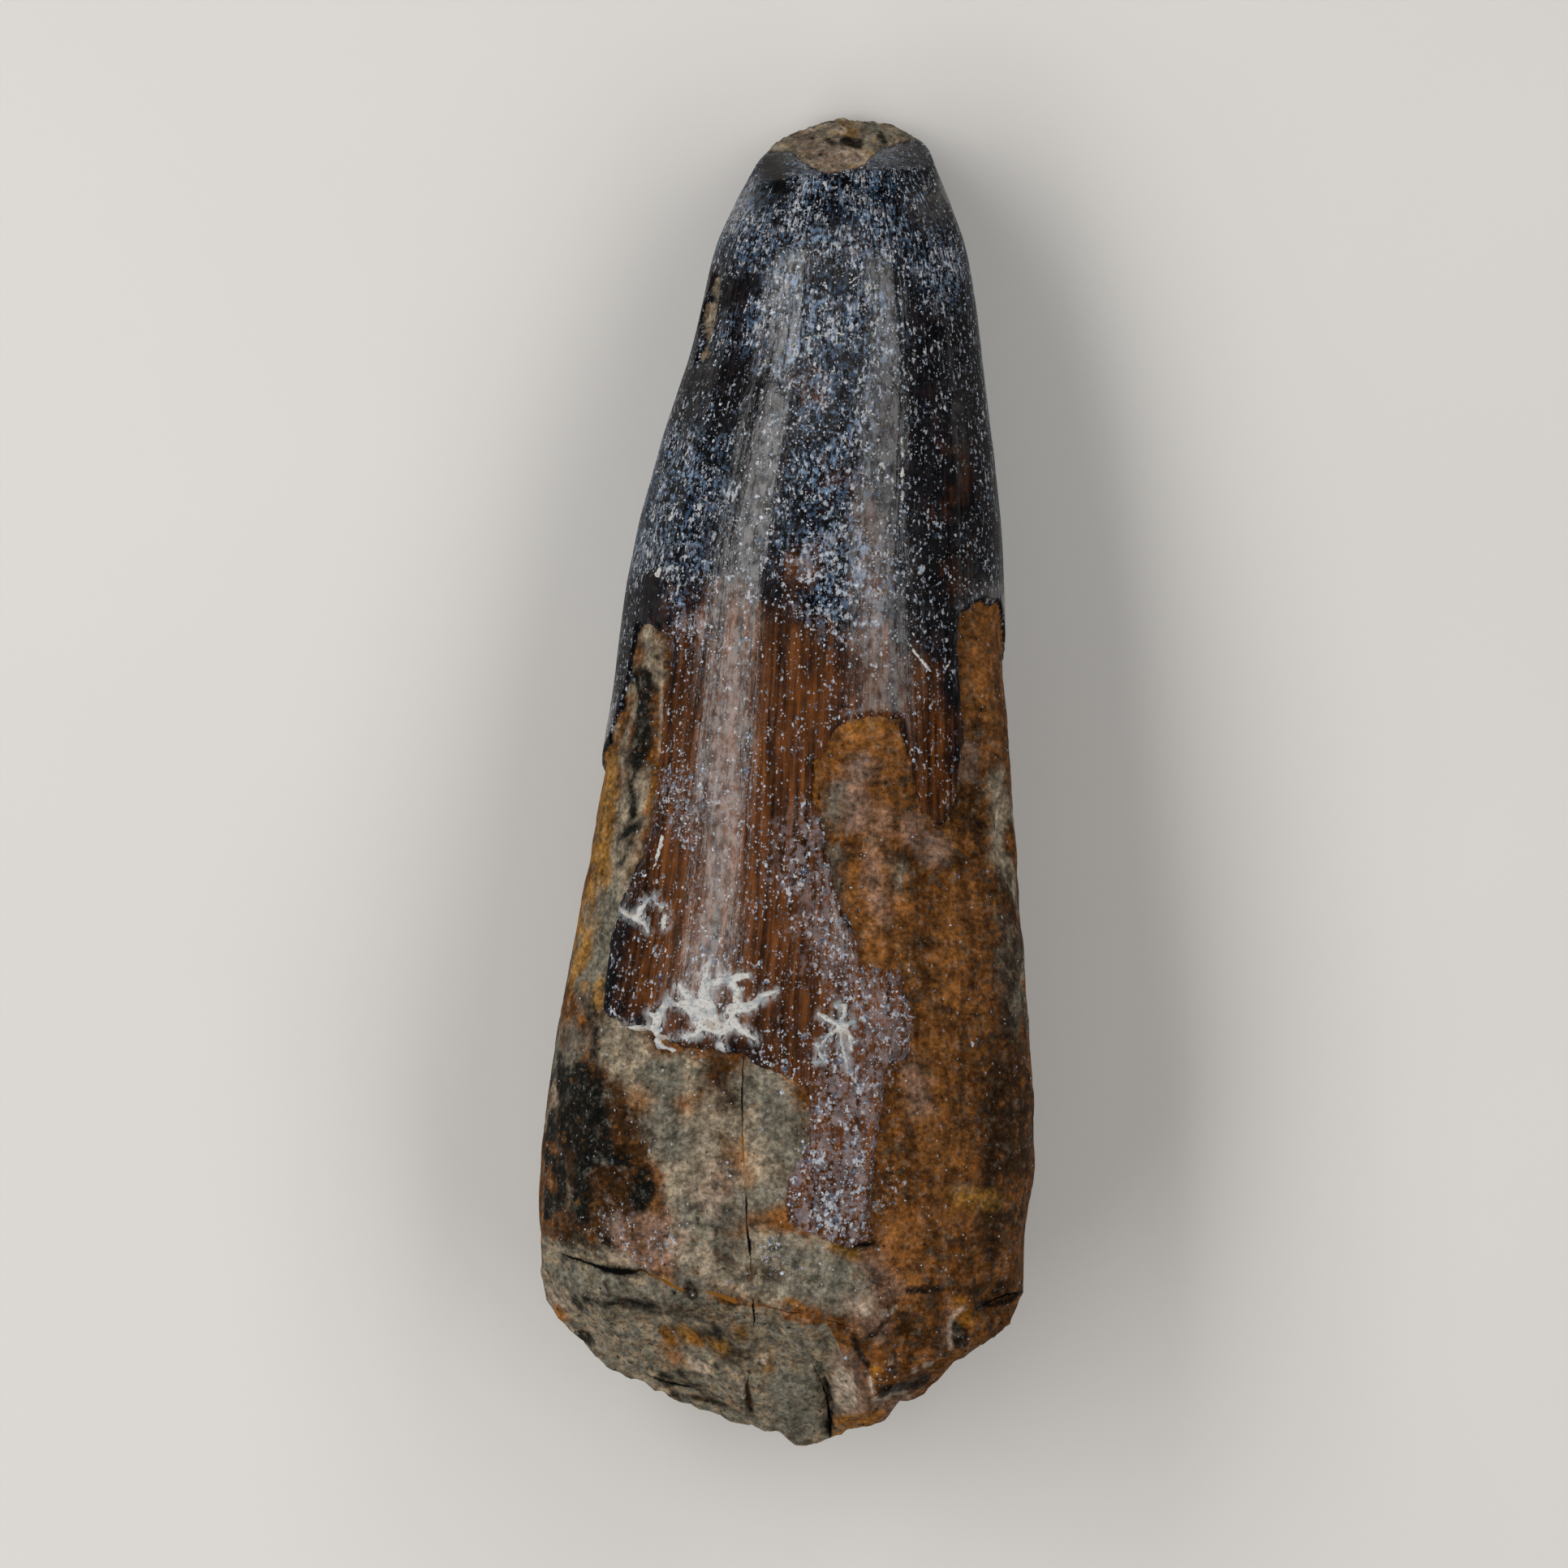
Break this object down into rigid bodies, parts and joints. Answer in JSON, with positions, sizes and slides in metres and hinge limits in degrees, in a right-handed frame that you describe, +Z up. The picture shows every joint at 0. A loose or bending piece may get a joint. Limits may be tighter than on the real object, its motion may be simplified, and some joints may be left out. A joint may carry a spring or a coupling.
{
  "type": "fossil crocodilian tooth",
  "caption": "Conical fossil tooth lying on its side, with dark ridged enamel flaked away over brown dentine, a worn slanting tip and a snapped root.",
  "frame": {"origin": "on the surface that the tooth lies on, under the middle of its box", "axes": "+Y along the tooth from the broken root to the tip, +Z up through its best face, +X to the right of that face"},
  "size_m": [0.0246, 0.0658, 0.0209],
  "materials": {
    "fossil_tooth": "satin"
  },
  "bodies": {
    "root": {"tooth": "fossil_tooth"}
  },
  "joints": []
}
